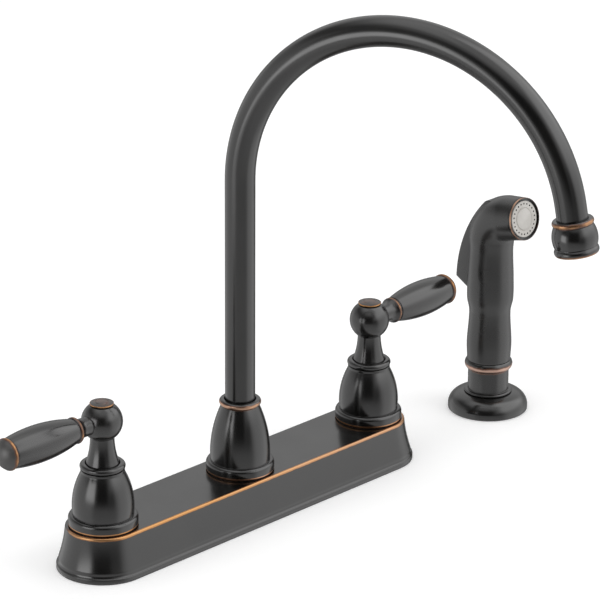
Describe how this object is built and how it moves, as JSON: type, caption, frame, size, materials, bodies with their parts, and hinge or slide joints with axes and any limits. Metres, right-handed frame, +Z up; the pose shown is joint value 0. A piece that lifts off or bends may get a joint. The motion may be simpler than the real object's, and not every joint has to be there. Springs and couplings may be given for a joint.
{
  "type": "two handle kitchen faucet with side sprayer",
  "caption": "Deck mounted kitchen faucet with a high arched swivel spout, turned lever handles on bell shaped covers, a long deck plate and a separate side sprayer.",
  "frame": {"origin": "on the deck's surface, under the spout's upright leg", "axes": "+Z up, +X along the deck plate towards the cold handle and the sprayer, -Y towards the user"},
  "size_m": [0.3974, 0.2202, 0.3527],
  "materials": {
    "bronze_finish": "dark satin bronze that is worn to copper on its edges",
    "wand_shell": "dark satin bronze paint on plastic",
    "copper_rim": "satin copper",
    "pale_face": "light warm grey, matte",
    "brass": "turned, plain",
    "copper_tube": "drawn tube",
    "rubber": "matte black",
    "steel": "plain stainless",
    "ceramic": "polished ceramic",
    "nylon": "black moulded nylon"
  },
  "bodies": {
    "deck_assembly": {"deck_plate": "bronze_finish", "deck_gasket": "rubber", "hot_bell": "bronze_finish", "cold_bell": "bronze_finish", "spout_bell": "bronze_finish", "spout_body": "brass", "spout_glide_ring": "nylon", "spout_nut": "brass", "hot_valve_body": "brass", "cold_valve_body": "brass", "hot_crossover_tube": "copper_tube", "cold_crossover_tube": "copper_tube", "hot_seat_seal": "rubber", "cold_seat_seal": "rubber", "hot_cartridge_body": "brass", "cold_cartridge_body": "brass", "hot_fixed_disc": "ceramic", "cold_fixed_disc": "ceramic", "hot_bonnet_nut": "brass", "cold_bonnet_nut": "brass", "mounting_washers": "steel", "mounting_nuts": "nylon", "spray_escutcheon": "bronze_finish", "spray_guide": "bronze_finish", "spray_guide_washer": "steel", "spray_guide_nut": "nylon"},
    "hot_handle": {"hot_turning_disc": "ceramic", "hot_stem": "brass", "hot_handle_hub": "bronze_finish", "hot_lever": "bronze_finish", "hot_lever_cap": "bronze_finish", "hot_index_cap": "bronze_finish", "hot_handle_screw": "steel"},
    "cold_handle": {"cold_turning_disc": "ceramic", "cold_stem": "brass", "cold_handle_hub": "bronze_finish", "cold_lever": "bronze_finish", "cold_lever_cap": "bronze_finish", "cold_index_cap": "bronze_finish", "cold_handle_screw": "steel"},
    "spout_arm": {"spout_stem": "brass", "spout_orings": "rubber", "gooseneck": "bronze_finish", "aerator_housing": "bronze_finish", "aerator_washer": "rubber", "aerator_shell": "bronze_finish", "aerator_insert": "nylon"},
    "diverter": {"diverter_piston": "nylon"},
    "spray_head": {"wand_body": "wand_shell", "spray_rim": "copper_rim", "spray_face": "pale_face", "hose_coupling": "brass", "trigger_pin": "steel"},
    "trigger_lever": {"spray_trigger": "wand_shell"},
    "spray_valve": {"valve_plunger": "steel"}
  },
  "joints": [
    {"name": "hot_handle_turn", "type": "hinge", "parent": "deck_assembly", "child": "hot_handle", "pos_m": [-0.1016, 0, 0.0825], "axis": [0, 0, 1], "range_deg": [0, 90]},
    {"name": "cold_handle_turn", "type": "hinge", "parent": "deck_assembly", "child": "cold_handle", "pos_m": [0.1016, 0, 0.0825], "axis": [0, 0, -1], "range_deg": [0, 90]},
    {"name": "spout_swivel", "type": "hinge", "parent": "deck_assembly", "child": "spout_arm", "pos_m": [0, 0, 0.042], "axis": [0, 0, 1], "range_deg": [-77.5, 42.5]},
    {"name": "diverter_lift", "type": "slide", "parent": "deck_assembly", "child": "diverter", "axis": [0, 0, 1], "range_m": [0, 0.003]},
    {"name": "wand_lift", "type": "slide", "parent": "deck_assembly", "child": "spray_head", "axis": [0, 0, 1], "range_m": [0, 0.12]},
    {"name": "trigger_press", "type": "hinge", "parent": "spray_head", "child": "trigger_lever", "pos_m": [0.2032, -0.0025, 0.1214], "axis": [-1, 0, 0], "range_deg": [0, 5], "stiffness_Nm_per_rad": 0.3, "springref_deg": -5.73},
    {"name": "valve_push", "type": "slide", "parent": "spray_head", "child": "spray_valve", "axis": [0, -1, 0], "range_m": [0, 0.0026]}
  ],
  "couplings": [
    {"joint": "valve_push", "follows": "trigger_press", "m_per_rad": 0.0295}
  ]
}
